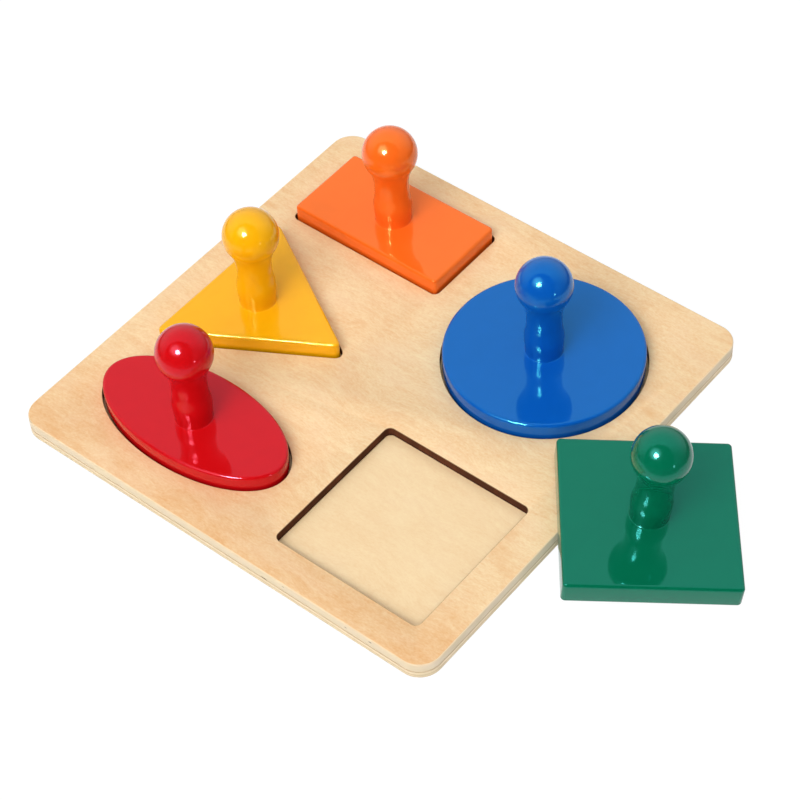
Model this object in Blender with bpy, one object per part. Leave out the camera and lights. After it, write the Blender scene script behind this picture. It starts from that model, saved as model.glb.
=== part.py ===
"""Shape puzzle: a plywood board with five cut-outs and five painted wooden blocks, each with a turned knob.

Metres, +Z up. The origin is the middle of the board's underside. The board is two sheets of plywood glued
face to face: a top panel cut right through in five shapes, and a plain backing panel that is the floor of
every recess. Four blocks sit in their recesses. The square one is out: it leans on the board's +Y edge with
one corner down on the table. Each block, its knob and its screw hang on one empty, which stands where the
knob's axis meets the block's underside.
"""
import math

import bmesh
import bpy
from mathutils import Matrix, Vector

# Board
BOARD_CORNER_RADIUS = 0.0140
BOARD_ARRIS = 0.0008
TOP_PANEL_THICKNESS = 0.0062
BACKING_THICKNESS = 0.0052
GLUE_LINE = 0.0003

# Blocks
BLOCK_THICKNESS = 0.0155
BLOCK_ARRIS = 0.0018
CIRCLE_DIAMETER = 0.1190
OVAL_WIDTH = 0.0648
OVAL_LENGTH = 0.1308
RECTANGLE_WIDTH = 0.0576
RECTANGLE_LENGTH = 0.1098
RECTANGLE_CORNER_RADIUS = 0.0026
TRIANGLE_SIDE = 0.1125
TRIANGLE_CORNER_RADIUS = 0.0034
SQUARE_SIDE = 0.0984
SQUARE_CORNER_RADIUS = 0.0026

# Recesses: the clearance round each block and the gap below it
CUTOUT_CLEARANCE = 0.0013
REST_GAP = 0.0003

# Layout: how far each block lies from the two board edges nearest to it, and how far apart blocks lie
CIRCLE_MARGIN_X = 0.0239
CIRCLE_MARGIN_Y = 0.0230
SQUARE_MARGIN_X = 0.0227
SQUARE_MARGIN_Y = 0.0230
RECTANGLE_MARGIN_X = 0.0224
RECTANGLE_MARGIN_Y = 0.0241
OVAL_MARGIN_X = 0.0237
OVAL_MARGIN_Y = 0.0226
TRIANGLE_MARGIN_Y = 0.0247
RECTANGLE_TO_TRIANGLE = 0.0163
BLOCK_SPACING = 0.0241

# Knobs
FOOT_DIAMETER = 0.0226
FOOT_ARRIS = 0.0006
BELLY_DIAMETER = 0.0237
BELLY_HEIGHT = 0.0110
TAPER_LENGTH = 0.0120
NECK_DIAMETER = 0.0211
NECK_LENGTH = 0.0048
NECK_FILLET = 0.0360
BALL_DIAMETER = 0.0335
KNOB_SEAT_GAP = 0.0003

# Wood screws, driven up through the block into the knob
SCREW_LENGTH = 0.0350
SCREW_DIAMETER = 0.0040
SCREW_HEAD_DIAMETER = 0.0080
SCREW_HEAD_HEIGHT = 0.0023
SCREW_POINT_LENGTH = 0.0050
SCREW_HEAD_RECESS = 0.0006
SCREW_CLEARANCE = 0.0003

# The square block's lean: its turn about its own knob, where it lies along the board's edge, and how far
# its middle lies past that edge, measured along its underside
LEAN_TURN = math.radians(128.7)
LEAN_X = -0.0021
LEAN_REACH = 0.0362
LEAN_GAP = 0.0003

# Facets
ROUND_STEPS = 72
CORNER_STEPS = 6
ARRIS_STEPS = 3
KNOB_SIDES = 24
SCREW_SIDES = 16
CUT_MARGIN = 0.0050

# The board is square, and as large as its fullest row or column of blocks needs
LEFT_COLUMN = CIRCLE_MARGIN_Y + CIRCLE_DIAMETER + BLOCK_SPACING + RECTANGLE_LENGTH + RECTANGLE_MARGIN_Y
RIGHT_COLUMN = SQUARE_MARGIN_Y + SQUARE_SIDE + BLOCK_SPACING + OVAL_LENGTH + OVAL_MARGIN_Y
BACK_ROW = CIRCLE_MARGIN_X + CIRCLE_DIAMETER + BLOCK_SPACING + SQUARE_SIDE + SQUARE_MARGIN_X
FRONT_ROW = (RECTANGLE_MARGIN_X + RECTANGLE_WIDTH + RECTANGLE_TO_TRIANGLE + TRIANGLE_SIDE
             + OVAL_WIDTH + OVAL_MARGIN_X)
BOARD_SIDE = max(LEFT_COLUMN, RIGHT_COLUMN, BACK_ROW, FRONT_ROW)
BOARD_HEIGHT = BACKING_THICKNESS + GLUE_LINE + TOP_PANEL_THICKNESS
SEAT_HEIGHT = BACKING_THICKNESS + REST_GAP

# The middle of each recess
EDGE = BOARD_SIDE / 2
CIRCLE_PLACE = (CIRCLE_MARGIN_X + CIRCLE_DIAMETER / 2 - EDGE, EDGE - CIRCLE_MARGIN_Y - CIRCLE_DIAMETER / 2)
SQUARE_PLACE = (EDGE - SQUARE_MARGIN_X - SQUARE_SIDE / 2, EDGE - SQUARE_MARGIN_Y - SQUARE_SIDE / 2)
RECTANGLE_PLACE = (RECTANGLE_MARGIN_X + RECTANGLE_WIDTH / 2 - EDGE,
                   RECTANGLE_MARGIN_Y + RECTANGLE_LENGTH / 2 - EDGE)
OVAL_PLACE = (EDGE - OVAL_MARGIN_X - OVAL_WIDTH / 2, OVAL_MARGIN_Y + OVAL_LENGTH / 2 - EDGE)
TRIANGLE_PLACE = (RECTANGLE_PLACE[0] + RECTANGLE_WIDTH / 2 + RECTANGLE_TO_TRIANGLE + TRIANGLE_SIDE / 2,
                  TRIANGLE_MARGIN_Y + TRIANGLE_SIDE / (2 * math.sqrt(3)) - EDGE)


# Outlines: each returns the points of a closed outline, anticlockwise, grown outwards by `grow`

def ellipse_outline(width, length, grow):
    points = []
    for step in range(ROUND_STEPS):
        angle = 2 * math.pi * step / ROUND_STEPS
        points.append(((width / 2 + grow) * math.cos(angle), (length / 2 + grow) * math.sin(angle)))
    return points


def rounded_outline(corners, radius, grow):
    """Arcs round the corners of a convex shape; growing it keeps the arcs' centres."""
    points = []
    count = len(corners)
    for index, corner in enumerate(corners):
        corner = Vector(corner)
        to_last = (Vector(corners[index - 1]) - corner).normalized()
        to_next = (Vector(corners[(index + 1) % count]) - corner).normalized()
        half_angle = to_last.angle(to_next) / 2
        centre = corner + (to_last + to_next).normalized() * radius / math.sin(half_angle)
        first = math.atan2(to_last.x, -to_last.y)
        turn = math.pi - 2 * half_angle
        for step in range(CORNER_STEPS + 1):
            angle = first + turn * step / CORNER_STEPS
            points.append((centre.x + (radius + grow) * math.cos(angle),
                           centre.y + (radius + grow) * math.sin(angle)))
    return points


def rectangle_corners(width, length):
    x, y = width / 2, length / 2
    return [(x, -y), (x, y), (-x, y), (-x, -y)]


def triangle_corners(side):
    """Equal sides, about its middle, with one corner towards +Y."""
    reach = side / math.sqrt(3)
    turns = [math.radians(degrees) for degrees in (-30, 90, 210)]
    return [(reach * math.cos(turn), reach * math.sin(turn)) for turn in turns]


def circle_outline(grow=0.0):
    return ellipse_outline(CIRCLE_DIAMETER, CIRCLE_DIAMETER, grow)


def oval_outline(grow=0.0):
    return ellipse_outline(OVAL_WIDTH, OVAL_LENGTH, grow)


def rectangle_outline(grow=0.0):
    corners = rectangle_corners(RECTANGLE_WIDTH, RECTANGLE_LENGTH)
    return rounded_outline(corners, RECTANGLE_CORNER_RADIUS, grow)


def triangle_outline(grow=0.0):
    return rounded_outline(triangle_corners(TRIANGLE_SIDE), TRIANGLE_CORNER_RADIUS, grow)


def square_outline(grow=0.0):
    return rounded_outline(rectangle_corners(SQUARE_SIDE, SQUARE_SIDE), SQUARE_CORNER_RADIUS, grow)


def board_outline():
    return rounded_outline(rectangle_corners(BOARD_SIDE, BOARD_SIDE), BOARD_CORNER_RADIUS, 0.0)


# Name, outline, recess middle and paint of each block
SHAPES = [
    ("circle", circle_outline, CIRCLE_PLACE, (0.020, 0.150, 0.560)),
    ("oval", oval_outline, OVAL_PLACE, (0.660, 0.018, 0.027)),
    ("rectangle", rectangle_outline, RECTANGLE_PLACE, (0.950, 0.210, 0.040)),
    ("triangle", triangle_outline, TRIANGLE_PLACE, (0.980, 0.520, 0.020)),
    ("square", square_outline, SQUARE_PLACE, (0.010, 0.170, 0.100)),
]


# Materials

def material(name, colour, roughness, metallic=0.0):
    finish = bpy.data.materials.new(name)
    finish.use_nodes = True
    shader = finish.node_tree.nodes["Principled BSDF"]
    shader.inputs["Base Color"].default_value = (*colour, 1.0)
    shader.inputs["Roughness"].default_value = roughness
    shader.inputs["Metallic"].default_value = metallic
    finish.diffuse_color = (*colour, 1.0)
    return finish


# Solids

def add_object(name, mesh_source, smooth_angle=None):
    """Turns a bmesh into a named object with its faces pointing out."""
    bmesh.ops.recalc_face_normals(mesh_source, faces=mesh_source.faces)
    mesh = bpy.data.meshes.new(name)
    mesh_source.to_mesh(mesh)
    mesh_source.free()
    if smooth_angle is not None:
        mesh.shade_smooth()
        mesh.set_sharp_from_angle(angle=smooth_angle)
    solid = bpy.data.objects.new(name, mesh)
    bpy.context.collection.objects.link(solid)
    return solid


def prism(name, outline, bottom, top):
    """An outline extruded from bottom to top."""
    shape = bmesh.new()
    base = shape.faces.new([shape.verts.new((x, y, bottom)) for x, y in outline])
    raised = bmesh.ops.extrude_face_region(shape, geom=[base])["geom"]
    lifted = [part for part in raised if isinstance(part, bmesh.types.BMVert)]
    bmesh.ops.translate(shape, verts=lifted, vec=(0, 0, top - bottom))
    return add_object(name, shape, math.radians(40))


def turned(name, profile, sides):
    """A profile of (radius, height) points, from one end of the axis to the other, spun about Z."""
    shape = bmesh.new()
    verts = [shape.verts.new((radius, 0, height)) for radius, height in profile]
    edges = [shape.edges.new(pair) for pair in zip(verts, verts[1:])]
    bmesh.ops.spin(shape, geom=verts + edges, cent=(0, 0, 0), axis=(0, 0, 1), angle=2 * math.pi,
                   steps=sides, use_merge=True, use_duplicate=False)
    bmesh.ops.remove_doubles(shape, verts=shape.verts, dist=1e-7)
    return add_object(name, shape, math.radians(40))


def round_edges(solid, width, edge_height=None):
    """Rounds the sharp edges of a solid, or only those at one height."""
    bevel = solid.modifiers.new("arris", "BEVEL")
    bevel.width = width
    bevel.segments = ARRIS_STEPS
    if edge_height is None:
        bevel.limit_method = "ANGLE"
        bevel.angle_limit = math.radians(60)
        return
    bevel.limit_method = "WEIGHT"
    weights = solid.data.attributes.new("bevel_weight_edge", "FLOAT", "EDGE")
    for edge in solid.data.edges:
        ends = [solid.data.vertices[index].co.z for index in edge.vertices]
        weights.data[edge.index].value = float(all(abs(z - edge_height) < 1e-6 for z in ends))


def cut(solid, cutter):
    cutter.hide_render = True
    cutter.display_type = "WIRE"
    difference = solid.modifiers.new(cutter.name, "BOOLEAN")
    difference.operation = "DIFFERENCE"
    difference.object = cutter


# Board

def make_board():
    wood = (0.905, 0.603, 0.342)
    backing = prism("backing_panel", board_outline(), 0.0, BACKING_THICKNESS)
    round_edges(backing, BOARD_ARRIS, 0.0)
    backing.data.materials.append(material("backing_plywood", wood, 0.55))

    top_start = BACKING_THICKNESS + GLUE_LINE
    top = prism("top_panel", board_outline(), top_start, BOARD_HEIGHT)
    round_edges(top, BOARD_ARRIS, BOARD_HEIGHT)
    cut_start, cut_end = top_start - CUT_MARGIN, BOARD_HEIGHT + CUT_MARGIN
    for name, outline, (x, y), _ in SHAPES:
        cutter = prism(name + "_cutout", outline(CUTOUT_CLEARANCE), cut_start, cut_end)
        cutter.location = (x, y, 0)
        cut(top, cutter)
    top.data.materials.append(material("top_plywood", wood, 0.50))


# Knobs

def arc(centre, radius, first, last, steps):
    """Points on an arc of (radius, height) space, both ends included."""
    angles = [first + (last - first) * step / steps for step in range(steps + 1)]
    return [(centre[0] + radius * math.cos(a), centre[1] + radius * math.sin(a)) for a in angles]


def ease(start, end, steps):
    """Points of a smooth wave between two upright tangents, without its first point."""
    points = []
    for step in range(1, steps + 1):
        share = step / steps
        wave = (1 - math.cos(math.pi * share)) / 2
        points.append((start[0] + (end[0] - start[0]) * wave, start[1] + (end[1] - start[1]) * share))
    return points


def knob_profile():
    """Foot, belly, long taper, neck, fillet and ball."""
    ball = BALL_DIAMETER / 2
    neck = NECK_DIAMETER / 2
    belly = BELLY_DIAMETER / 2
    foot = FOOT_DIAMETER / 2
    taper_end = BELLY_HEIGHT + TAPER_LENGTH
    fillet_height = taper_end + NECK_LENGTH
    fillet_centre = (neck + NECK_FILLET, fillet_height)
    rise = math.sqrt((ball + NECK_FILLET) ** 2 - fillet_centre[0] ** 2)
    meeting = math.atan2(rise, fillet_centre[0])
    ball_height = fillet_height + rise
    profile = [(0.0, 0.0)]
    profile += arc((foot - FOOT_ARRIS, FOOT_ARRIS), FOOT_ARRIS, -math.pi / 2, 0.0, 2)
    profile += ease((foot, FOOT_ARRIS), (belly, BELLY_HEIGHT), 2)
    profile += ease((belly, BELLY_HEIGHT), (neck, taper_end), 5)
    profile += arc(fillet_centre, NECK_FILLET, math.pi, math.pi - meeting, 4)
    profile += arc((0.0, ball_height), ball, -meeting, math.pi / 2, 9)[1:-1]
    profile.append((0.0, ball_height + ball))
    return profile


def screw_outline(gap, head_end):
    """Head, shank and point of a screw, grown by a gap; head_end is where the head's flat face lies."""
    head = SCREW_HEAD_DIAMETER / 2 + gap
    shank = SCREW_DIAMETER / 2 + gap
    cone_end = SCREW_HEAD_RECESS + SCREW_HEAD_HEIGHT
    tip = SCREW_HEAD_RECESS + SCREW_LENGTH
    return [(0.0, head_end), (head, head_end), (head, SCREW_HEAD_RECESS), (shank, cone_end),
            (shank, tip - SCREW_POINT_LENGTH), (0.0, tip + gap)]


# Blocks

def make_block(name, outline, paint, place):
    """One painted block with its knob and its screw, all carried by the empty `place`."""
    knob_seat = BLOCK_THICKNESS + KNOB_SEAT_GAP

    block = prism(name + "_block", outline(), 0.0, BLOCK_THICKNESS)
    round_edges(block, BLOCK_ARRIS)
    block.data.materials.append(material(name + "_paint", paint, 0.12))

    knob = turned(name + "_knob", knob_profile(), KNOB_SIDES)
    knob.location.z = knob_seat
    knob.data.materials.append(material(name + "_knob_paint", paint, 0.10))

    screw = turned(name + "_screw", screw_outline(0.0, SCREW_HEAD_RECESS), SCREW_SIDES)
    screw.data.materials.append(material(name + "_screw_zinc", (0.62, 0.62, 0.60), 0.35, 1.0))

    hole = turned(name + "_screw_hole", screw_outline(SCREW_CLEARANCE, -CUT_MARGIN), SCREW_SIDES)
    cut(block, hole)
    cut(knob, hole)
    for part in (block, knob, screw, hole):
        part.parent = place


def lean_matrix():
    """Places the square block with its underside on the board's rounded +Y edge and a corner on the table.

    It tilts about X. In a view along X, `bearing` is the middle of the board's arris, and `reach` is how
    far the middle of the lowest corner's own arris lies past it, along the block's underside.
    """
    bearing_y = BOARD_SIDE / 2 - BOARD_ARRIS
    bearing_z = BOARD_HEIGHT - BOARD_ARRIS
    diagonal = abs(math.cos(LEAN_TURN)) + abs(math.sin(LEAN_TURN))
    corner = (SQUARE_SIDE / 2 - SQUARE_CORNER_RADIUS) * diagonal
    reach = LEAN_REACH + corner + SQUARE_CORNER_RADIUS - BLOCK_ARRIS
    lift = BOARD_ARRIS + LEAN_GAP
    rise = lift + BLOCK_ARRIS
    drop = bearing_z - BLOCK_ARRIS - LEAN_GAP
    tilt = math.atan2(rise, reach) + math.asin(drop / math.hypot(rise, reach))
    outward = Vector((0.0, math.cos(tilt), -math.sin(tilt)))
    upward = Vector((0.0, math.sin(tilt), math.cos(tilt)))
    middle = Vector((LEAN_X, bearing_y, bearing_z)) + outward * LEAN_REACH + upward * lift
    return Matrix.Translation(middle) @ Matrix.Rotation(-tilt, 4, "X") @ Matrix.Rotation(LEAN_TURN, 4, "Z")


def make_blocks():
    for name, outline, (x, y), paint in SHAPES:
        place = bpy.data.objects.new(name + "_place", None)
        place.empty_display_size = 0.02
        bpy.context.collection.objects.link(place)
        if name == "square":
            place.matrix_world = lean_matrix()
        else:
            place.location = (x, y, SEAT_HEIGHT)
        make_block(name, outline, paint, place)


def main():
    for leftover in list(bpy.data.objects):
        bpy.data.objects.remove(leftover, do_unlink=True)
    make_board()
    make_blocks()


main()
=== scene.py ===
"""Shape puzzle for toddlers: fine shapes and finishes over the measured frame.

The board is two sheets of birch plywood glued face to face. The upper one has five cut-outs, burnt dark
where they were cut. Five blocks in gloss paint carry turned knobs. Four sit in their recesses, and the
square one leans on the edge of the board. Lengths are metres, +Z is up.
"""

import math

import bmesh
import bpy
from bpy.props import FloatProperty, FloatVectorProperty, PointerProperty
from mathutils import Matrix, Vector


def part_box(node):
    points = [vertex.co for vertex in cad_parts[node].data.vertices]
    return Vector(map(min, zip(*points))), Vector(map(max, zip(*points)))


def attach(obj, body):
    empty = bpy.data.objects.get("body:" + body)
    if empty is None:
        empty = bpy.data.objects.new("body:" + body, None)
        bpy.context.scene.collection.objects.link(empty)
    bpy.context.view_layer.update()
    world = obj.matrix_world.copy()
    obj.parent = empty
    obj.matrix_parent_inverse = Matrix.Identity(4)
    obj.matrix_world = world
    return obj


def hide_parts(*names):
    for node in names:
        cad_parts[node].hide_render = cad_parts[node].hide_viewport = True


bl_info = {
    "name": "Shape Puzzle",
    "version": (1, 0, 0),
    "blender": (4, 5, 0),
    "location": "3D View > Sidebar > Puzzle",
    "description": "Builds the fine pieces and finishes of a plywood shape puzzle over its measured frame",
    "category": "Add Mesh",
}

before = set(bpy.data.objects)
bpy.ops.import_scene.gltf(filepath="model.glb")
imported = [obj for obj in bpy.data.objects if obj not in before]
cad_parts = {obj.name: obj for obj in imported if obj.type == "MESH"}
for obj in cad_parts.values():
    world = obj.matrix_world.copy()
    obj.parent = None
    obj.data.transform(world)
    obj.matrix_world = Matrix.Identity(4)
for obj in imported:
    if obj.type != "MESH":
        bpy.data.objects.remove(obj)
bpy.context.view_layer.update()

# Heights and sizes read from the measured frame
UNDERSIDE, PANEL_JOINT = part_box("backing_panel")[0].z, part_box("backing_panel")[1].z
PANEL_START, BOARD_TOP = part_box("top_panel")[0].z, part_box("top_panel")[1].z
BOARD_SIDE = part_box("top_panel")[1].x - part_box("top_panel")[0].x
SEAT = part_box("circle_block")[0].z
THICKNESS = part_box("circle_block")[1].z - SEAT
SHAPES = ("circle", "oval", "rectangle", "triangle", "square")

# Below this distance from the board's outline a wall belongs to the rim, not to a cut-out
RIM_WIDTH = 0.006
# A face counts as flat when its normal rises at least this much
FLAT_NORMAL = 0.98
# Plain border kept inside each flat face, on the panels and on the blocks
PANEL_BORDER = 0.0006
BLOCK_BORDER = 0.0005
# How far a cutter reaches past the solid that it cuts
CUTTER_REACH = 0.004

# Steps round the turned pieces and the rounded outlines
OUTLINE_STEPS = 180
KNOB_STEPS = 96
SCREW_HOLE_STEPS = 48
SCREW_STEPS = 40

# Cross slot in each screw head: its length, its width, and the depths of its two arms
SLOT_LENGTH = 0.0042
SLOT_WIDTH = 0.0010
SLOT_ARMS = ((0.0, 0.0015), (math.pi / 2, 0.0013))

# Small dark voids in the plies of the +X and -X edges: along Y, height, half length, half height, darkness
EDGE_VOIDS = ((0.0378, 0.0056, 0.0026, 0.0006, 0.9), (0.0520, 0.0091, 0.0010, 0.0004, 0.5),
              (0.0962, 0.0085, 0.0010, 0.0004, 0.6), (0.1132, 0.0092, 0.0012, 0.0005, 0.7))
VOID_SHADE = (0.10, 0.05, 0.02)

# Roughness of the paint, and how strongly its orange peel stands out
BLOCK_GLOSS = (0.025, 0.03)
KNOB_GLOSS = (0.100, 0.65)

# Where the light comes from, seen from the board
KEY_DIRECTION = Vector((0.6815, 0.0967, 0.7255))
SPARK_DIRECTION = Vector((0.2110, 0.9570, 0.0500))
LIT_POINT = Vector((0.0, 0.02, 0.03))

# Parts of the sky that gloss mirrors: the dark side, the bright back, and the soft halo beside the glint
DARK_SKY = (0.763, 0.288, 0.575)
BACK_SKY = (-0.66, -0.60, 0.45)
HALO_SKY = (0.635, -0.079, 0.769)

# Across the floor, from the board towards the camera and sideways
FLOOR_AHEAD = (0.744, 0.668, 0.0)
FLOOR_ASIDE = (-0.668, 0.744, 0.0)

CAMERA_PLACE = (0.72089749, 0.65315244, 1.10235230)
CAMERA_TURN = ((-0.62690674, -0.60419446, 0.49187091), (0.77795194, -0.45128257, 0.43718969),
               (-0.04217482, 0.65672910, 0.75294633))


# Settings

def length(name, description, default):
    return FloatProperty(name=name, description=description, default=default, min=0.0, unit="LENGTH")


def amount(name, description, default):
    return FloatProperty(name=name, description=description, default=default, min=0.0)


def place(name, description, default):
    return FloatVectorProperty(name=name, description=description, default=default, size=2, unit="LENGTH")


def colour(name, description, default):
    return FloatVectorProperty(name=name, description=description, default=default, size=3, min=0.0, max=1.0,
                               subtype="COLOR")


class PuzzleBoardSettings(bpy.types.PropertyGroup):
    """Sizes and woods of the board"""
    corner_radius: length("Corner radius", "Rounding of the board's four corners", 0.0140)
    arris: length("Arris", "Rounding of the board's outer edges", 0.0008)
    clearance: length("Clearance", "Gap between a block and the wall of its recess", 0.0013)
    cut_arris: length("Cut-out arris", "Scorched chamfer along the top of each cut-out", 0.0003)
    circle_place: place("Circle", "Middle of the round recess", (-0.0666, 0.0675))
    oval_place: place("Oval", "Middle of the oval recess", (0.0939, -0.0620))
    rectangle_place: place("Rectangle", "Middle of the rectangular recess", (-0.0988, -0.0710))
    triangle_place: place("Triangle", "Middle of the triangular recess", (0.00255, -0.092824))
    square_place: place("Square", "Middle of the square recess", (0.0781, 0.0778))
    face_pale: colour("Face veneer, pale", "Palest birch on the upper face", (0.882, 0.695, 0.420))
    face_warm: colour("Face veneer, warm", "Warmest birch on the upper face", (0.740, 0.405, 0.172))
    floor_pale: colour("Recess floor, pale", "Palest birch in the recesses", (0.862, 0.685, 0.414))
    floor_warm: colour("Recess floor, warm", "Warmest birch in the recesses", (0.735, 0.452, 0.222))
    edge: colour("Plies", "Pale plies along the board's edges", (0.830, 0.680, 0.480))
    burnt: colour("Burnt wall", "Walls of the cut-outs", (0.085, 0.023, 0.008))
    scorched: colour("Scorched rim", "Brown line along the top of the cut-outs", (0.400, 0.240, 0.120))


class PuzzleBlockSettings(bpy.types.PropertyGroup):
    """Sizes and paints of the blocks"""
    arris: length("Arris", "Rounding of every edge of a block", 0.0018)
    circle_diameter: length("Circle", "Diameter of the round block", 0.1190)
    oval_width: length("Oval width", "Short axis of the oval block", 0.0648)
    oval_length: length("Oval length", "Long axis of the oval block", 0.1308)
    rectangle_width: length("Rectangle width", "Short side of the rectangular block", 0.0576)
    rectangle_length: length("Rectangle length", "Long side of the rectangular block", 0.1098)
    rectangle_corner: length("Rectangle corner", "Corner radius of the rectangular block", 0.0026)
    triangle_side: length("Triangle side", "Side of the triangle before its corners are rounded", 0.1125)
    triangle_corner: length("Triangle corner", "Corner radius of the triangular block", 0.0034)
    square_side: length("Square", "Side of the square block", 0.0984)
    square_corner: length("Square corner", "Corner radius of the square block", 0.0026)
    lean_place: FloatVectorProperty(
        name="Leaning place", description="Middle of the leaning block's underside",
        default=(-0.0021, 0.185290, 0.007868), size=3, unit="LENGTH")
    lean_tilt: FloatProperty(name="Tilt", description="Tilt of the leaning block", unit="ROTATION",
                             default=math.radians(6.5435))
    lean_turn: FloatProperty(name="Turn", description="Turn of the leaning block about its knob",
                             unit="ROTATION", default=math.radians(128.7))
    circle_paint: colour("Blue", "Paint of the round block", (0.0022, 0.092, 0.450))
    oval_paint: colour("Red", "Paint of the oval block", (0.585, 0.0040, 0.0065))
    rectangle_paint: colour("Orange", "Paint of the rectangular block", (0.960, 0.142, 0.0120))
    triangle_paint: colour("Yellow", "Paint of the triangular block", (0.950, 0.440, 0.0035))
    square_paint: colour("Green", "Paint of the square block", (0.0010, 0.134, 0.064))


class PuzzleKnobSettings(bpy.types.PropertyGroup):
    """Profile of the turned knobs, measured up from the foot"""
    foot_diameter: length("Foot", "Diameter where the knob meets its block", 0.0226)
    foot_fillet: length("Foot fillet", "Paint drawn up round the foot", 0.0005)
    belly_diameter: length("Belly", "Widest diameter of the stem", 0.0237)
    belly_height: length("Belly height", "Height of the widest place", 0.0110)
    taper_length: length("Taper", "Length over which the stem narrows", 0.0120)
    neck_diameter: length("Neck", "Diameter under the ball", 0.0211)
    neck_length: length("Neck length", "Straight part of the neck", 0.0048)
    neck_fillet: length("Neck fillet", "Hollow between neck and ball", 0.0360)
    ball_diameter: length("Ball", "Diameter of the ball", 0.0335)
    seat_gap: length("Seat gap", "Paint-filled joint between knob and block", 0.0003)


class PuzzleScrewSettings(bpy.types.PropertyGroup):
    """Countersunk wood screw under each block"""
    screw_length: length("Length", "From the flat of the head to the point", 0.0350)
    shank_diameter: length("Shank", "Diameter of the shank", 0.0040)
    head_diameter: length("Head", "Diameter of the head", 0.0080)
    head_height: length("Head height", "Height of the countersunk cone", 0.0023)
    point_length: length("Point", "Length of the tapered point", 0.0050)
    recess: length("Sunk", "How far the head lies above the underside", 0.0006)
    gap: length("Gap", "Gap between the screw and the wood", 0.0003)


class PuzzleStageSettings(bpy.types.PropertyGroup):
    """Camera and lights"""
    lens: amount("Lens", "Focal length in millimetres on a 36 mm sensor", 113.055)
    lamp_distance: length("Lamp distance", "From the board to the large lamps", 4.00)
    key_power: amount("Key light", "Power of the round key lamp", 67.0)
    key_size: length("Key size", "Width of the round key lamp", 2.00)
    soft_power: amount("Soft light", "Power of the wide lamp round the key", 79.0)
    soft_size: length("Soft size", "Width of the wide lamp round the key", 4.00)
    glint_power: amount("Glint", "Power of the lamp that only gloss mirrors", 110.0)
    glint_size: length("Glint size", "Width of the lamp that only gloss mirrors", 0.65)
    glint_distance: length("Glint distance", "From the board to that lamp", 2.3)
    spark_power: amount("Spark", "Power of the low lamp that only gloss mirrors", 3.0)
    spark_size: length("Spark size", "Width of the low lamp", 0.18)
    spark_distance: length("Spark distance", "From the board to the low lamp", 3.0)
    halo: amount("Halo", "Soft brightness that gloss mirrors beside the glint", 5.0)
    fill: amount("Fill", "Brightness of the sky overhead that lights the object", 0.83)
    back_sky: amount("Back sky", "Sky that gloss mirrors from behind the board", 0.85)
    open_sky: amount("Open sky", "Sky that gloss mirrors from all sides but the camera's", 0.38)


# Selecting and shaping, as by hand

def select_only(piece):
    if bpy.context.mode != "OBJECT":
        bpy.ops.object.mode_set(mode="OBJECT")
    bpy.ops.object.select_all(action="DESELECT")
    if piece:
        piece.select_set(True)
        bpy.context.view_layer.objects.active = piece


def settle(piece):
    """Puts a piece's place, turn and scale into its mesh."""
    select_only(piece)
    bpy.ops.object.transform_apply(location=True, rotation=True, scale=True)


def pick(piece, kind, test):
    """Enters edit mode with only those edges or faces selected that pass the test."""
    select_only(piece)
    bpy.ops.object.mode_set(mode="EDIT")
    bpy.ops.mesh.select_mode(type=kind)
    bpy.ops.mesh.select_all(action="DESELECT")
    mesh = bmesh.from_edit_mesh(piece.data)
    for part in mesh.edges if kind == "EDGE" else mesh.faces:
        if test(part):
            part.select_set(True)
    bmesh.update_edit_mesh(piece.data)


def upright(edge):
    rise = edge.verts[0].co - edge.verts[1].co
    return abs(rise.z) > 0.9 * rise.length


def level_at(*heights):
    def test(edge):
        return any(all(abs(v.co.z - z) < 1e-6 for v in edge.verts) for z in heights)
    return test


def rim_at(height):
    """Edges at that height where a flat face meets a wall."""
    def test(edge):
        return level_at(height)(edge) and edge.calc_face_angle(0.0) > 1.0
    return test


def flat_at(*heights):
    def test(face):
        return any(all(abs(v.co.z - z) < 1e-6 for v in face.verts) for z in heights)
    return test


def round_edges(piece, test, radius, segments):
    pick(piece, "EDGE", test)
    bpy.ops.mesh.bevel(offset=radius, offset_type="OFFSET", segments=segments, profile=0.5, affect="EDGES")
    bpy.ops.object.mode_set(mode="OBJECT")


def frame_flats(piece, width, *heights):
    """A narrow border inside each flat face, so that the rounding beside it doesn't shade the flat."""
    pick(piece, "FACE", flat_at(*heights))
    bpy.ops.mesh.inset(thickness=width, use_individual=True)
    bpy.ops.object.mode_set(mode="OBJECT")


def smooth(piece, degrees=35.0):
    select_only(piece)
    bpy.ops.object.shade_smooth_by_angle(angle=math.radians(degrees), keep_sharp_edges=False)


def cut_away(piece, cutter):
    """Takes the cutter's solid out of the piece, and drops the cutter."""
    select_only(piece)
    step = piece.modifiers.new("cut", "BOOLEAN")
    step.operation = "DIFFERENCE"
    step.solver = "EXACT"
    step.object = cutter
    bpy.ops.object.modifier_apply(modifier=step.name)
    bpy.data.objects.remove(cutter, do_unlink=True)


def dress(piece, name, body, node, finishes):
    """Names a finished piece, gives it its finishes, and ties it to the frame."""
    piece.name = name
    piece.data.name = name
    piece.data.materials.clear()
    for finish in finishes:
        piece.data.materials.append(finish)
    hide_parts(node)
    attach(piece, body)


# Shader maths

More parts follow.
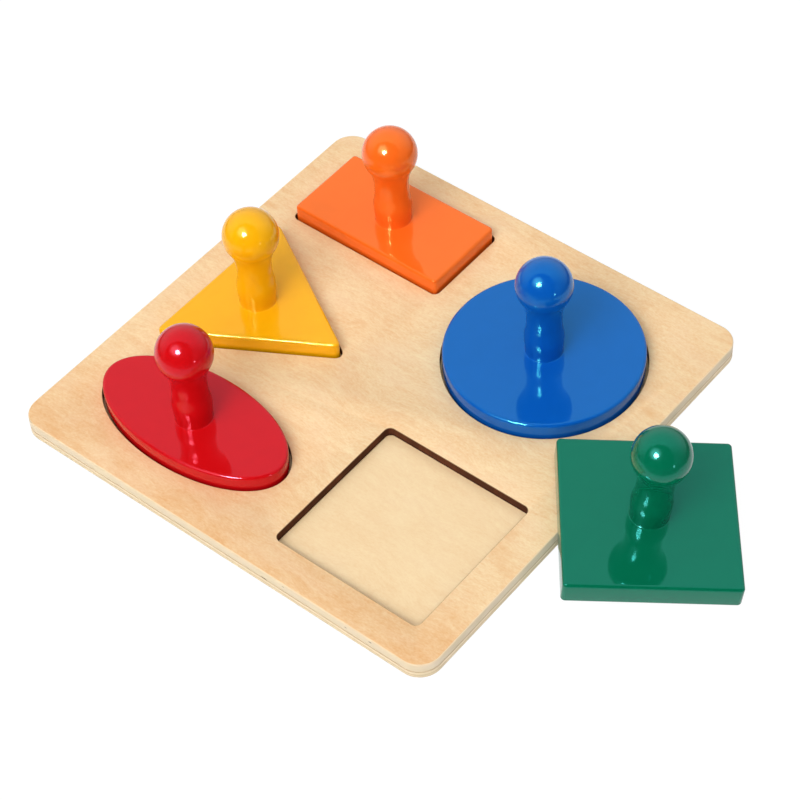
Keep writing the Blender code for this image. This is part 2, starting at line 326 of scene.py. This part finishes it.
class Number:
    """A socket's value, with arithmetic that adds Math nodes."""

    def __init__(self, tree, socket):
        self.tree = tree
        self.socket = socket

    def combine(self, operation, first, second):
        node = self.tree.nodes.new("ShaderNodeMath")
        node.operation = operation
        for socket, value in zip(node.inputs, (first, second)):
            link_or_set(self.tree, socket, value)
        return Number(self.tree, node.outputs[0])

    def __add__(self, other):
        return self.combine("ADD", self, other)

    def __radd__(self, other):
        return self.combine("ADD", other, self)

    def __sub__(self, other):
        return self.combine("SUBTRACT", self, other)

    def __rsub__(self, other):
        return self.combine("SUBTRACT", other, self)

    def __mul__(self, other):
        return self.combine("MULTIPLY", self, other)

    def __rmul__(self, other):
        return self.combine("MULTIPLY", other, self)

    def __truediv__(self, other):
        return self.combine("DIVIDE", self, other)

    def __pow__(self, other):
        return self.combine("POWER", self, other)

    def most(self, other):
        return self.combine("MAXIMUM", self, other)

    def size(self):
        return self.combine("ABSOLUTE", self, 0.0)


def link_or_set(tree, socket, value):
    if isinstance(value, Number):
        tree.links.new(value.socket, socket)
    elif isinstance(value, bpy.types.NodeSocket):
        tree.links.new(value, socket)
    elif socket.type == "RGBA" and len(value) == 3:
        socket.default_value = (*value, 1.0)
    else:
        socket.default_value = value


class Nodes:
    """Adds nodes to a material's or the sky's tree; `point` is where its patterns are read."""

    def __init__(self, tree, coordinates):
        self.tree = tree
        self.point = self.node("ShaderNodeTexCoord", {}, {}, coordinates)

    def node(self, kind, settings, values, output=0):
        """Adds a node: its settings first, then what its sockets hold or are linked to."""
        made = self.tree.nodes.new(kind)
        for key, value in settings.items():
            if key == "stops":
                self.set_stops(made.color_ramp, value)
            else:
                setattr(made, key, value)
        for key, value in values.items():
            link_or_set(self.tree, made.inputs[key], value)
        return made.outputs[output]

    def set_stops(self, ramp, stops):
        while len(ramp.elements) < len(stops):
            ramp.elements.new(0.5)
        for element, (position, shade) in zip(ramp.elements, stops):
            element.position = position
            element.color = (*shade, 1.0) if len(shade) == 3 else shade

    def number(self, socket):
        return Number(self.tree, socket)

    def axis(self, letter):
        return self.number(self.node("ShaderNodeSeparateXYZ", {}, {"Vector": self.point}, letter))

    def ray(self, kind):
        """1 for rays of that kind, 0 for all others."""
        return self.number(self.node("ShaderNodeLightPath", {}, {}, kind))

    def stretched(self, scale, shift=(0.0, 0.0, 0.0)):
        """The tree's point, scaled and shifted."""
        return self.node("ShaderNodeMapping", {}, {"Vector": self.point, "Scale": scale, "Location": shift})

    def noise(self, scale, detail=2.0, roughness=0.5, distortion=0.0, stretch=(1.0, 1.0, 1.0),
              shift=(0.0, 0.0, 0.0)):
        """Noise from 0 to 1, about 0.5."""
        values = {"Vector": self.stretched(stretch, shift), "Scale": scale, "Detail": detail,
                  "Roughness": roughness, "Distortion": distortion}
        return self.number(self.node("ShaderNodeTexNoise", {}, values))

    def vector(self, operation, values, output=0):
        return self.node("ShaderNodeVectorMath", {"operation": operation}, values, output)

    def towards(self, direction):
        """How far the tree's point lies in that direction."""
        return self.number(self.vector("DOT_PRODUCT", {0: self.point, 1: direction}, "Value"))

    def meander(self, scale, reach):
        """Shifts the tree's point a little from place to place, so that what is read from it wanders."""
        drift = {"Vector": self.point, "Scale": scale, "Detail": 1.0}
        drift = self.node("ShaderNodeTexNoise", {}, drift, "Color")
        centred = self.vector("SUBTRACT", {0: drift, 1: (0.5, 0.5, 0.5)})
        shift = self.vector("SCALE", {0: centred, "Scale": reach})
        self.point = self.vector("ADD", {0: self.point, 1: shift})

    def between(self, value, low, high):
        """0 below low, 1 above high, and smooth in between."""
        values = {"Value": value, "From Min": low, "From Max": high}
        settings = {"interpolation_type": "SMOOTHSTEP"}
        return self.number(self.node("ShaderNodeMapRange", settings, values))

    def blend(self, share, first, second, kind="MIX"):
        values = {0: share, 6: first, 7: second}
        return self.node("ShaderNodeMix", {"data_type": "RGBA", "blend_type": kind}, values, 2)


class Finish(Nodes):
    """A material under construction, with patterns on its piece's own coordinates."""

    def __init__(self, name):
        self.material = bpy.data.materials.new(name)
        self.material.use_nodes = True
        super().__init__(self.material.node_tree, "Object")
        self.shader = self.tree.nodes["Principled BSDF"]

    def bump(self, height, distance, strength=1.0):
        return self.node("ShaderNodeBump", {}, {"Height": height, "Distance": distance, "Strength": strength})

    def set(self, **values):
        for key, value in values.items():
            link_or_set(self.tree, self.shader.inputs[key.replace("_", " ")], value)
        return self.material


def tint(shade, factor, cast=(1.0, 1.0, 1.0)):
    return tuple(min(1.0, channel * factor * share) for channel, share in zip(shade, cast))


def ply_bands(rows):
    """Colour stops up the board's edge from rows of height in millimetres and tone."""
    return [(height * 0.001 / BOARD_TOP, tone) for height, tone in rows]


# Tones up the board's edge: painted contact shadow along the foot where the board meets the floor, backing
# plies, glue lines, crossband, face veneer
PLY_BANDS = ply_bands([
    # The two lowest stops paint the contact shadow along the board's foot
    (0.00, (0.64, 0.56, 0.42)), (0.70, (0.70, 0.62, 0.48)), (1.10, (1.04, 1.02, 0.94)),
    (2.10, (1.05, 1.03, 0.96)), (2.35, (0.76, 0.70, 0.58)), (2.65, (0.80, 0.74, 0.62)),
    (3.00, (1.09, 1.09, 1.06)), (4.60, (1.10, 1.10, 1.09)), (5.00, (0.58, 0.48, 0.36)),
    (5.45, (0.60, 0.50, 0.38)), (5.85, (0.95, 0.96, 0.96)), (7.00, (0.96, 0.97, 0.97)),
    (7.30, (0.88, 0.88, 0.87)), (7.60, (0.96, 0.97, 0.99)), (10.60, (0.97, 0.97, 0.97)),
    (11.10, (1.02, 0.96, 0.87)),
])


# Woods

# Layers of birch grain: scale, detail, roughness, distortion, stretch along the grain, and shift
BIRCH_LAYERS = {
    "patches": (24.0, 1.0, 0.5, 0.0, 0.55, (0.3, 0.1, 0.0)),
    "figure": (95.0, 2.0, 0.5, 0.9, 0.42, (0.7, 0.4, 0.0)),
    "streaks": (330.0, 2.0, 0.55, 0.4, 0.36, (0.2, 0.9, 0.0)),
    "fibres": (1100.0, 2.0, 0.6, 0.0, 0.42, (0.0, 0.0, 0.0)),
    "lines": (420.0, 1.0, 0.5, 0.0, 0.08, (0.4, 0.7, 0.0)),
    "blush": (60.0, 1.0, 0.5, 0.0, 0.5, (0.9, 0.2, 0.0)),
    "flame": (30.0, 3.0, 0.6, 0.8, 0.5, (0.35, 0.75, 0.0)),
    "dashes": (950.0, 1.0, 0.5, 0.0, 0.20, (0.5, 0.6, 0.0)),
}
# How much each layer sways the veneer between its warm and its pale tone
BIRCH_TONES = (("patches", 0.45), ("figure", 0.55), ("streaks", 0.55), ("fibres", 0.85), ("lines", 0.35))
# Where the veneer starts and ends to turn warmer towards the front of the board
FRONT_START, FRONT_END = 0.085, 0.150


def birch_face(name, warm, pale, strength, mean, front):
    """Sanded birch veneer with its grain along Y: soft patches, wandering streaks, and short dark fibres."""
    wood = Finish(name)
    near = wood.between(wood.axis("X"), FRONT_START, FRONT_END)
    wood.meander(20.0, 0.014)
    layers = {layer: wood.noise(scale, detail, roughness, distortion, (1.0, along, 1.0), shift)
              for layer, (scale, detail, roughness, distortion, along, shift) in BIRCH_LAYERS.items()}

    tone = 0.0
    for layer, weight in BIRCH_TONES:
        tone = tone + (layers[layer] - 0.5) * weight
    base = wood.blend(mean + tone * strength - near * front, warm, pale)
    blush = wood.between(layers["blush"], 0.45, 0.70) * 0.20 * strength
    base = wood.blend(blush, base, tint(pale, 0.97, (1.0, 0.94, 1.02)))
    flame = wood.between(layers["flame"], 0.56, 0.76) * 0.50 * strength
    base = wood.blend(flame, base, tint(warm, 0.97, (1.0, 0.95, 0.86)))
    dashes = wood.between(layers["dashes"], 0.58, 0.74) * 0.12 * strength
    base = wood.blend(dashes, base, tint(warm, 0.92))

    height = layers["fibres"] * 0.5 + layers["streaks"] * 0.5
    roughness = 0.50 + 0.10 * (layers["streaks"] - 0.5)
    return wood.set(Base_Color=base, Roughness=roughness, Normal=wood.bump(height, 0.00005),
                    Specular_IOR_Level=0.35)


def ply_edge(name, shade):
    """Sawn and sanded plies seen edge on, from a painted contact shadow along the foot to the face veneer,
    with small voids.
    """
    wood = Finish(name)
    height = wood.axis("Z")
    across = wood.axis("Y")
    # Painted shade and light: the X edges, which the key lamp lights most, are painted darker, and the Y
    # edges lighter and bluer
    x_edges_painted_darker = wood.between(wood.axis("X").size(), BOARD_SIDE / 2 - 0.012, BOARD_SIDE / 2 - 0.0005)
    wander = wood.noise(45.0, 2.0, 0.5, 0.0, (1.0, 1.0, 0.0))
    sheets = wood.noise(220.0, 2.0, 0.5, 0.0, (0.25, 0.25, 5.0))
    grit = wood.noise(1300.0, 2.0, 0.7, 0.0, (1.0, 1.0, 1.6))
    patches = wood.noise(70.0, 1.0, 0.5, 0.0, (1.0, 1.0, 2.0))
    level = (height + (wander - 0.5) * 0.0012) / BOARD_TOP
    bands = wood.node("ShaderNodeValToRGB", {"stops": PLY_BANDS}, {"Fac": level})
    # Painted shade on the X edges and painted light on the Y edges
    base = wood.blend(x_edges_painted_darker, tint(shade, 1.09, (1.0, 1.02, 1.08)), tint(shade, 0.94))
    base = wood.blend(1.0, base, bands, "MULTIPLY")
    base = wood.blend(wood.between(patches, 0.45, 0.65) * 0.35, base, tint(shade, 0.92, (0.98, 1.0, 0.90)))
    base = wood.blend(wood.between(sheets, 0.40, 0.70) * 0.22, base, tint(shade, 0.80))
    base = wood.blend(wood.between(grit, 0.45, 0.90) * 0.22, base, tint(shade, 0.70))
    for y, z, half_length, half_height, depth in EDGE_VOIDS:
        far = ((across - y) / half_length) ** 2.0 + ((height - z) / half_height) ** 2.0
        base = wood.blend((1.0 - wood.between(far, 0.5, 1.1)) * depth, base, VOID_SHADE)
    return wood.set(Base_Color=base, Roughness=0.62 + 0.1 * (grit - 0.5), Normal=wood.bump(grit, 0.00008),
                    Specular_IOR_Level=0.15)


def burnt_wall(name, shade, scorched):
    """Cut wall browned by heat, in uneven upright strokes and tan at the rim, with painted shade darkening
    its foot where it meets the recess floor.
    """
    wood = Finish(name)
    height = wood.axis("Z")
    strokes = wood.noise(700.0, 2.0, 0.6, 0.0, (1.0, 1.0, 0.08))
    patches = wood.noise(90.0, 2.0, 0.5, 0.0)
    # Painted shade: darker towards the foot, where the wall meets the recess floor
    foot = 1.0 - wood.between(height, PANEL_START, PANEL_START + 0.0022)
    rim = wood.between(height, BOARD_TOP - 0.0004, BOARD_TOP)
    base = wood.blend(wood.between(patches, 0.35, 0.7), tint(shade, 0.80), tint(shade, 1.35))
    base = wood.blend(wood.between(strokes, 0.4, 0.75) * 0.5, base, tint(shade, 0.55))
    # Painted shade at the foot of the wall
    base = wood.blend(foot * 0.75, base, tint(shade, 0.22))
    base = wood.blend(rim * 0.9, base, scorched)
    return wood.set(Base_Color=base, Roughness=0.70 + 0.1 * (strokes - 0.5),
                    Normal=wood.bump(strokes, 0.0001), Specular_IOR_Level=0.10)


# Paint and metal

# Least share of each channel that a paint's gloss mirrors
PIGMENT_LEAN = (0.15, 0.22, 0.34)
# Share of the paint's strongest channel from which a channel is mirrored in full
FULL_MIRROR = 0.15


def gloss_paint(name, shade, roughness, peel):
    """Thick gloss paint: its gloss leans to the pigment, and flow and orange peel make reflections waver."""
    paint = Finish(name)
    flow = paint.noise(95.0, 1.0, 0.4)
    film = paint.noise(650.0, 2.0, 0.6)
    base = paint.blend(paint.between(flow, 0.3, 0.7) * 0.5, shade, tint(shade, 0.95))
    height = flow * 0.5 + film * peel
    lean = tuple(least + (1.0 - least) * min(1.0, channel / max(shade) / FULL_MIRROR)
                 for channel, least in zip(shade, PIGMENT_LEAN))
    return paint.set(Base_Color=base, Roughness=roughness * (0.9 + 0.2 * film),
                     Normal=paint.bump(height, 0.00006), IOR=1.55, Specular_Tint=lean)


def zinc(name):
    metal = Finish(name)
    grain = metal.noise(1600.0, 2.0, 0.5)
    base = metal.blend(grain, (0.62, 0.62, 0.60), (0.74, 0.74, 0.72))
    return metal.set(Base_Color=base, Metallic=1.0, Roughness=0.28 + 0.12 * grain)


# Outlines

def blank(shape, grow, bottom, top, where=(0.0, 0.0)):
    """A plain prism with one of the five outlines, grown outwards, its corners rounded."""
    sizes = bpy.context.scene.puzzle_blocks
    select_only(None)
    centre = (where[0], where[1], (bottom + top) / 2)
    depth = top - bottom
    corner = 0.0
    if shape in ("circle", "oval"):
        width = sizes.circle_diameter if shape == "circle" else sizes.oval_width
        reach = sizes.circle_diameter if shape == "circle" else sizes.oval_length
        bpy.ops.mesh.primitive_cylinder_add(vertices=OUTLINE_STEPS, radius=1.0, depth=depth, location=centre,
                                            scale=(width / 2 + grow, reach / 2 + grow, 1.0))
    elif shape == "triangle":
        radius = sizes.triangle_side / math.sqrt(3) + 2 * grow
        bpy.ops.mesh.primitive_cylinder_add(vertices=3, radius=radius, depth=depth, location=centre)
        corner = (sizes.triangle_corner + grow) * math.sqrt(3)
    else:
        width = sizes.square_side if shape == "square" else sizes.rectangle_width
        reach = sizes.square_side if shape == "square" else sizes.rectangle_length
        bpy.ops.mesh.primitive_cube_add(size=1.0, location=centre,
                                        scale=(width + 2 * grow, reach + 2 * grow, depth))
        corner = (sizes.square_corner if shape == "square" else sizes.rectangle_corner) + grow
    piece = bpy.context.object
    settle(piece)
    if corner:
        round_edges(piece, upright, corner, 12)
    return piece


def lean_matrix():
    sizes = bpy.context.scene.puzzle_blocks
    turned = Matrix.Rotation(-sizes.lean_tilt, 4, "X") @ Matrix.Rotation(sizes.lean_turn, 4, "Z")
    return Matrix.Translation(sizes.lean_place) @ turned


def carry_to(piece, shape):
    """Moves a piece made at the origin to its block: upright in its recess, or leaning."""
    if shape == "square":
        piece.matrix_world = lean_matrix()
    else:
        x, y = getattr(bpy.context.scene.puzzle_board, shape + "_place")
        piece.location = (x, y, SEAT)
    settle(piece)


def copy_of(piece):
    select_only(piece)
    bpy.ops.object.duplicate(linked=False)
    return bpy.context.object


def turned_solid(profile, steps):
    """Draws a half profile by extruding one point along it, and spins it about Z."""
    select_only(None)
    bpy.ops.mesh.primitive_plane_add(size=0.001, location=(0.0, 0.0, 0.0))
    piece = bpy.context.object
    bpy.ops.object.mode_set(mode="EDIT")
    bpy.ops.mesh.select_mode(type="VERT")
    bpy.ops.mesh.select_all(action="SELECT")
    bpy.ops.mesh.merge(type="CENTER")
    last = Vector((0.0, 0.0, 0.0))
    for index, (radius, height) in enumerate(profile):
        point = Vector((radius, 0.0, height))
        if index == 0:
            bpy.ops.transform.translate(value=point)
        else:
            bpy.ops.mesh.extrude_region_move(TRANSFORM_OT_translate={"value": point - last})
        last = point
    bpy.ops.mesh.select_all(action="SELECT")
    bpy.ops.mesh.spin(steps=steps, dupli=False, angle=math.tau, use_auto_merge=True,
                      center=(0.0, 0.0, 0.0), axis=(0.0, 0.0, 1.0))
    bpy.ops.mesh.select_all(action="SELECT")
    bpy.ops.mesh.remove_doubles(threshold=1e-6)
    bpy.ops.mesh.normals_make_consistent(inside=False)
    bpy.ops.object.mode_set(mode="OBJECT")
    return piece


def arc(centre, radius, first, last, steps):
    angles = [first + (last - first) * step / steps for step in range(steps + 1)]
    return [(centre[0] + radius * math.cos(angle), centre[1] + radius * math.sin(angle)) for angle in angles]


def ease(start, end, steps):
    """A smooth wave from start to end that leaves and arrives upright, without its first point."""
    points = []
    for step in range(1, steps + 1):
        share = step / steps
        wave = (1 - math.cos(math.pi * share)) / 2
        points.append((start[0] + (end[0] - start[0]) * wave, start[1] + (end[1] - start[1]) * share))
    return points


def screw_outline(grow, head_end):
    """Half profile of the screw from its flat head to its point."""
    screw = bpy.context.scene.puzzle_screws
    head = screw.head_diameter / 2 + grow
    shank = screw.shank_diameter / 2 + grow
    cone_end = screw.recess + screw.head_height
    tip = screw.recess + screw.screw_length
    return [(0.0, head_end), (head, head_end), (head, screw.recess), (shank, cone_end),
            (shank, tip - screw.point_length), (0.0, tip + grow)]


def knob_outline():
    """Half profile of the knob: pilot bore, paint fillet, belly, taper, neck, hollow and ball."""
    knob = bpy.context.scene.puzzle_knobs
    screw = bpy.context.scene.puzzle_screws
    ball, neck, belly = knob.ball_diameter / 2, knob.neck_diameter / 2, knob.belly_diameter / 2
    foot, fillet, base = knob.foot_diameter / 2, knob.foot_fillet, -knob.seat_gap
    bore = screw.shank_diameter / 2 + screw.gap
    bore_end = screw.recess + screw.screw_length + screw.gap - THICKNESS - knob.seat_gap
    taper_end = knob.belly_height + knob.taper_length
    hollow = (neck + knob.neck_fillet, taper_end + knob.neck_length)
    rise = math.sqrt((ball + knob.neck_fillet) ** 2 - hollow[0] ** 2)
    meeting = math.atan2(rise, hollow[0])
    middle = hollow[1] + rise
    points = [(0.0, bore_end), (bore, bore_end - screw.point_length), (bore, base)]
    points += arc((foot + fillet, base + fillet), fillet, -math.pi / 2, -math.pi, 6)
    points += ease((foot, base + fillet), (belly, knob.belly_height), 8)
    points += ease((belly, knob.belly_height), (neck, taper_end), 14)
    points += arc(hollow, knob.neck_fillet, math.pi, math.pi - meeting, 10)
    points += arc((0.0, middle), ball, -meeting, math.pi / 2, 36)[1:-1]
    points.append((0.0, middle + ball))
    return points


# Operators

class PUZZLE_OT_board(bpy.types.Operator):
    """Builds the cut panel and the backing panel of the board"""
    bl_idname = "puzzle.board"
    bl_label = "Board"

    def execute(self, context):
        board = context.scene.puzzle_board

        top = self.slab(PANEL_START, BOARD_TOP, board)
        round_edges(top, level_at(BOARD_TOP), board.arris, 4)
        frame_flats(top, PANEL_BORDER, BOARD_TOP)
        for shape in SHAPES:
            where = getattr(board, shape + "_place")
            cut_away(top, blank(shape, board.clearance, PANEL_START - CUTTER_REACH,
                                BOARD_TOP + CUTTER_REACH, where))
        round_edges(top, rim_at(BOARD_TOP), board.cut_arris, 2)
        smooth(top, 30.0)
        finishes = [birch_face("birch_top_face", board.face_warm, board.face_pale, 1.0, 0.62, 0.30),
                    burnt_wall("burnt_cut_wall", board.burnt, board.scorched),
                    ply_edge("top_plies", board.edge)]
        dress(top, "top_panel_fine", "board", "top_panel", finishes)
        self.share_out(top)

        backing = self.slab(UNDERSIDE, PANEL_JOINT, board)
        round_edges(backing, level_at(UNDERSIDE), board.arris, 4)
        frame_flats(backing, PANEL_BORDER, UNDERSIDE)
        smooth(backing, 30.0)
        finishes = [birch_face("birch_backing_face", board.floor_warm, board.floor_pale, 0.60, 0.66, 0.0),
                    ply_edge("backing_plies", board.edge)]
        dress(backing, "backing_panel_fine", "board", "backing_panel", finishes)
        self.share_out(backing)
        return {"FINISHED"}

    def slab(self, bottom, top, board):
        select_only(None)
        bpy.ops.mesh.primitive_cube_add(size=1.0, location=(0.0, 0.0, (bottom + top) / 2),
                                        scale=(BOARD_SIDE, BOARD_SIDE, top - bottom))
        piece = bpy.context.object
        settle(piece)
        round_edges(piece, upright, board.corner_radius, 20)
        return piece

    def share_out(self, panel):
        """Flat faces take the first finish, walls inside the board the second, and the rim the last."""
        rim = len(panel.data.materials) - 1
        for face in panel.data.polygons:
            inside = max(abs(face.center.x), abs(face.center.y)) < BOARD_SIDE / 2 - RIM_WIDTH
            if abs(face.normal.z) > FLAT_NORMAL:
                face.material_index = 0
            else:
                face.material_index = 1 if inside else rim


class PUZZLE_OT_blocks(bpy.types.Operator):
    """Builds the five painted blocks"""
    bl_idname = "puzzle.blocks"
    bl_label = "Painted blocks"

    def execute(self, context):
        sizes = context.scene.puzzle_blocks
        screw = context.scene.puzzle_screws
        for shape in SHAPES:
            block = blank(shape, 0.0, 0.0, THICKNESS)
            round_edges(block, level_at(0.0, THICKNESS), sizes.arris, 7)
            frame_flats(block, BLOCK_BORDER, 0.0, THICKNESS)
            cut_away(block, turned_solid(screw_outline(screw.gap, -CUTTER_REACH / 2), SCREW_HOLE_STEPS))
            smooth(block)
            carry_to(block, shape)
            finish = gloss_paint(shape + "_block_gloss", getattr(sizes, shape + "_paint"), *BLOCK_GLOSS)
            dress(block, shape + "_block_fine", shape + "_piece", shape + "_block",
                  [finish])
        return {"FINISHED"}


class PUZZLE_OT_knobs(bpy.types.Operator):
    """Turns one knob and copies it to every block"""
    bl_idname = "puzzle.knobs"
    bl_label = "Turned knobs"

    def execute(self, context):
        sizes = context.scene.puzzle_blocks
        pattern = turned_solid(knob_outline(), KNOB_STEPS)
        pattern.location.z = THICKNESS + context.scene.puzzle_knobs.seat_gap
        settle(pattern)
        smooth(pattern)
        for shape in SHAPES:
            knob = copy_of(pattern)
            carry_to(knob, shape)
            finish = gloss_paint(shape + "_knob_gloss", getattr(sizes, shape + "_paint"), *KNOB_GLOSS)
            dress(knob, shape + "_knob_fine", shape + "_piece", shape + "_knob",
                  [finish])
        bpy.data.objects.remove(pattern, do_unlink=True)
        return {"FINISHED"}


class PUZZLE_OT_screws(bpy.types.Operator):
    """Builds the countersunk screw under each block"""
    bl_idname = "puzzle.screws"
    bl_label = "Wood screws"

    def execute(self, context):
        screw = context.scene.puzzle_screws
        pattern = turned_solid(screw_outline(0.0, screw.recess), SCREW_STEPS)
        pick(pattern, "FACE", flat_at(screw.recess))
        bpy.ops.mesh.dissolve_faces()
        bpy.ops.object.mode_set(mode="OBJECT")
        for turn, depth in SLOT_ARMS:
            select_only(None)
            bpy.ops.mesh.primitive_cube_add(size=1.0, location=(0.0, 0.0, screw.recess),
                                            rotation=(0.0, 0.0, turn),
                                            scale=(SLOT_LENGTH, SLOT_WIDTH, 2 * depth))
            slot = bpy.context.object
            settle(slot)
            cut_away(pattern, slot)
        smooth(pattern)
        for shape in SHAPES:
            piece = copy_of(pattern)
            carry_to(piece, shape)
            dress(piece, shape + "_screw_fine", shape + "_piece", shape + "_screw",
                  [zinc(shape + "_screw_metal")])
        bpy.data.objects.remove(pattern, do_unlink=True)
        return {"FINISHED"}


class PUZZLE_OT_stage(bpy.types.Operator):
    """Sets the pale floor, the soft light and the camera"""
    bl_idname = "puzzle.stage"
    bl_label = "Stage"

    def execute(self, context):
        stage = context.scene.puzzle_stage
        context.scene.view_settings.view_transform = "Standard"
        self.add_floor()
        self.add_sky(context.scene, stage)
        for name, size, power in (("key_lamp", stage.key_size, stage.key_power),
                                  ("soft_lamp", stage.soft_size, stage.soft_power)):
            self.add_lamp(name, KEY_DIRECTION, stage.lamp_distance, size, power).visible_glossy = False
        for name, direction, distance, size, power in (
                ("glint_lamp", KEY_DIRECTION, stage.glint_distance, stage.glint_size, stage.glint_power),
                ("spark_lamp", SPARK_DIRECTION, stage.spark_distance, stage.spark_size, stage.spark_power)):
            self.add_lamp(name, direction, distance, size, power).visible_diffuse = False
        self.add_camera(context.scene, stage)
        return {"FINISHED"}

    def add_floor(self):
        """A white floor that keeps the object's shadow. Gloss mirrors it dark far from the board."""
        select_only(None)
        bpy.ops.mesh.primitive_plane_add(size=12.0, location=(0.0, 0.0, -0.0001))
        floor = bpy.context.object
        floor.name = "floor"
        pale = Finish("pale_floor")
        grain = pale.noise(3.0, 2.0, 0.5)
        shade = pale.blend(grain, (0.84, 0.84, 0.84), (0.86, 0.86, 0.86))
        pale.set(Base_Color=shade, Roughness=0.9)
        seen = pale.ray("Is Camera Ray").most(pale.ray("Is Glossy Ray")).most(pale.ray("Is Transmission Ray"))
        ahead = pale.between(pale.towards(FLOOR_AHEAD), 0.26, 0.32)
        aside = pale.between(pale.towards(FLOOR_ASIDE).size(), 0.36, 0.44)
        strength = 1.04 - pale.ray("Is Glossy Ray") * ahead.most(aside) * 0.96
        glow = pale.node("ShaderNodeEmission", {}, {"Color": (1.0, 1.0, 1.0), "Strength": strength})
        mixed = pale.node("ShaderNodeMixShader", {}, {0: seen * 0.93, 1: pale.shader.outputs[0], 2: glow})
        pale.tree.links.new(mixed, pale.tree.nodes["Material Output"].inputs["Surface"])
        floor.data.materials.append(pale.material)

    def add_sky(self, scene, stage):
        """A pale sky overhead. Gloss mirrors one that is dark on the camera's side; the camera sees white."""
        scene.world = bpy.data.worlds.new("pale_sky")
        scene.world.use_nodes = True
        sky = Nodes(scene.world.node_tree, "Generated")
        rise = sky.axis("Z")
        ragged = (sky.noise(9.0, 3.0, 0.6) - 0.5) * 0.16
        lit = 1.0 - sky.between(sky.towards(DARK_SKY) + ragged, 0.54, 0.60)
        back = sky.between(sky.towards(BACK_SKY), -0.2, 0.6)
        horizon = 0.35 + 0.65 * sky.between(rise, -0.3, 0.5)
        halo = sky.between(sky.towards(HALO_SKY), 0.85, 1.0) ** 3.0 * stage.halo
        mirrored = halo + lit * horizon * (stage.open_sky + back * stage.back_sky)
        overhead = stage.fill * sky.between(rise, 0.25, 0.75)
        level = overhead + sky.ray("Is Glossy Ray") * (mirrored - overhead)
        background = sky.tree.nodes["Background"]
        background.inputs["Color"].default_value = (1.0, 1.0, 1.0, 1.0)
        link_or_set(sky.tree, background.inputs["Strength"], level + sky.ray("Is Camera Ray") * (1.0 - level))

    def add_lamp(self, name, direction, distance, size, power):
        lamp = bpy.data.lights.new(name, "AREA")
        lamp.shape = "DISK"
        lamp.size = size
        lamp.energy = power
        holder = bpy.data.objects.new(name, lamp)
        bpy.context.scene.collection.objects.link(holder)
        holder.location = LIT_POINT + direction.normalized() * distance
        holder.rotation_euler = direction.to_track_quat("Z", "Y").to_euler()
        return holder

    def add_camera(self, scene, stage):
        camera = bpy.data.cameras.new("camera")
        camera.lens = stage.lens
        camera.sensor_width = 36.0
        camera.clip_start = 0.05
        holder = bpy.data.objects.new("camera", camera)
        scene.collection.objects.link(holder)
        holder.matrix_world = Matrix.Translation(CAMERA_PLACE) @ Matrix(CAMERA_TURN).to_4x4()
        scene.camera = holder


class PUZZLE_PT_panel(bpy.types.Panel):
    """Lists the steps that build the puzzle"""
    bl_idname = "PUZZLE_PT_panel"
    bl_label = "Shape Puzzle"
    bl_space_type = "VIEW_3D"
    bl_region_type = "UI"
    bl_category = "Puzzle"

    def draw(self, context):
        for step in STEPS:
            self.layout.operator(step.bl_idname)


GROUPS = {
    "puzzle_board": PuzzleBoardSettings,
    "puzzle_blocks": PuzzleBlockSettings,
    "puzzle_knobs": PuzzleKnobSettings,
    "puzzle_screws": PuzzleScrewSettings,
    "puzzle_stage": PuzzleStageSettings,
}
STEPS = (PUZZLE_OT_board, PUZZLE_OT_blocks, PUZZLE_OT_knobs, PUZZLE_OT_screws, PUZZLE_OT_stage)


def register():
    for group in GROUPS.values():
        bpy.utils.register_class(group)
    for name, group in GROUPS.items():
        setattr(bpy.types.Scene, name, PointerProperty(type=group))
    for step in STEPS:
        bpy.utils.register_class(step)
    bpy.utils.register_class(PUZZLE_PT_panel)


def unregister():
    bpy.utils.unregister_class(PUZZLE_PT_panel)
    for step in reversed(STEPS):
        bpy.utils.unregister_class(step)
    for name, group in GROUPS.items():
        delattr(bpy.types.Scene, name)
        bpy.utils.unregister_class(group)


def main():
    register()
    bpy.ops.puzzle.board()
    bpy.ops.puzzle.blocks()
    bpy.ops.puzzle.knobs()
    bpy.ops.puzzle.screws()
    bpy.ops.puzzle.stage()
    select_only(None)


if __name__ == "__main__":
    main()
